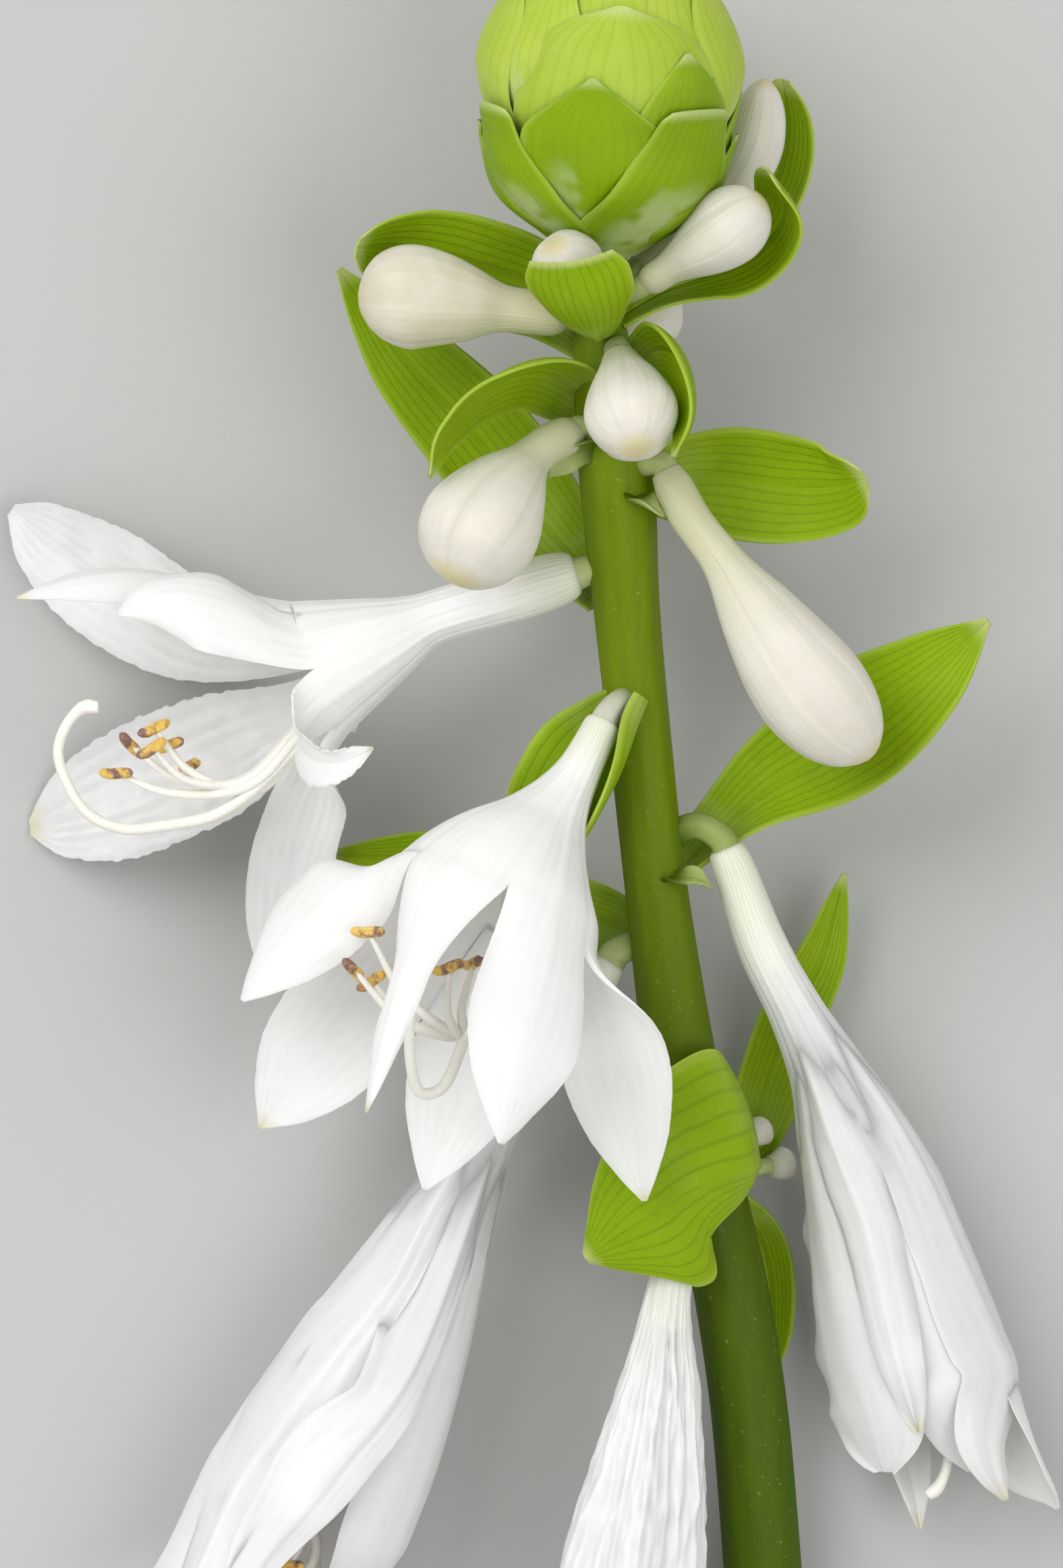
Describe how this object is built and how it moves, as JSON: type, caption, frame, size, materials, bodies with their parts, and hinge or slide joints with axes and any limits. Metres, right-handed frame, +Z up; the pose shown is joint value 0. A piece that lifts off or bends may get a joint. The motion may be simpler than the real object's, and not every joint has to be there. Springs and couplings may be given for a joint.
{
  "type": "hosta flower stalk",
  "caption": "Cut flowering stalk of a hosta with white funnel flowers, buds and green bracts, lying on its side.",
  "frame": {"origin": "middle of the bounding box's lowest face, on the surface that the stalk lies on", "axes": "+Y along the stalk from its cut end towards its head, +X to the right seen from above with the head away, +Z up from the surface"},
  "size_m": [0.0996, 0.1756, 0.0434],
  "materials": {
    "stem_green": "smooth green plant stem, waxy sheen",
    "head_green": "pale green young bracts, waxy sheen",
    "petal_white": "thin white petals with fine veins, satin",
    "stamen_cream": "cream filaments with yellow-brown anthers",
    "bud_white": "smooth creamy white bud, satin",
    "bract_green": "green leaf-like bract with parallel veins, pale thin edge"
  },
  "bodies": {
    "root": {"stem": "stem_green", "head": "head_green", "flower_left": "petal_white", "flower_front": "petal_white", "flower_right_closed": "petal_white", "flower_low_middle_withered": "petal_white", "flower_low_left": "petal_white", "stamens_left": "stamen_cream", "stamens_front": "stamen_cream", "stamens_right": "stamen_cream", "stamens_low_left": "stamen_cream", "bud_right_large": "bud_white", "bud_left_front": "bud_white", "bud_front": "bud_white", "bud_left_upper": "bud_white", "bud_middle": "bud_white", "bud_right_top": "bud_white", "bud_right_side": "bud_white", "bud_back": "bud_white", "bud_back_low_a": "bud_white", "bud_back_low_b": "bud_white", "bract_left_back": "bract_green", "bract_right_upper": "bract_green", "bract_right_pointed": "bract_green", "bract_low_wrapped": "bract_green", "bract_behind_left": "bract_green", "bract_flower_front": "bract_green", "bract_bud_right_top": "bract_green", "bract_bud_right_side": "bract_green", "bract_bud_left_upper": "bract_green", "bract_bud_middle": "bract_green", "bract_bud_left_front": "bract_green", "bract_bud_front": "bract_green", "bract_bud_back": "bract_green", "bract_back_upper": "bract_green", "bract_back_lower": "bract_green"}
  },
  "joints": []
}
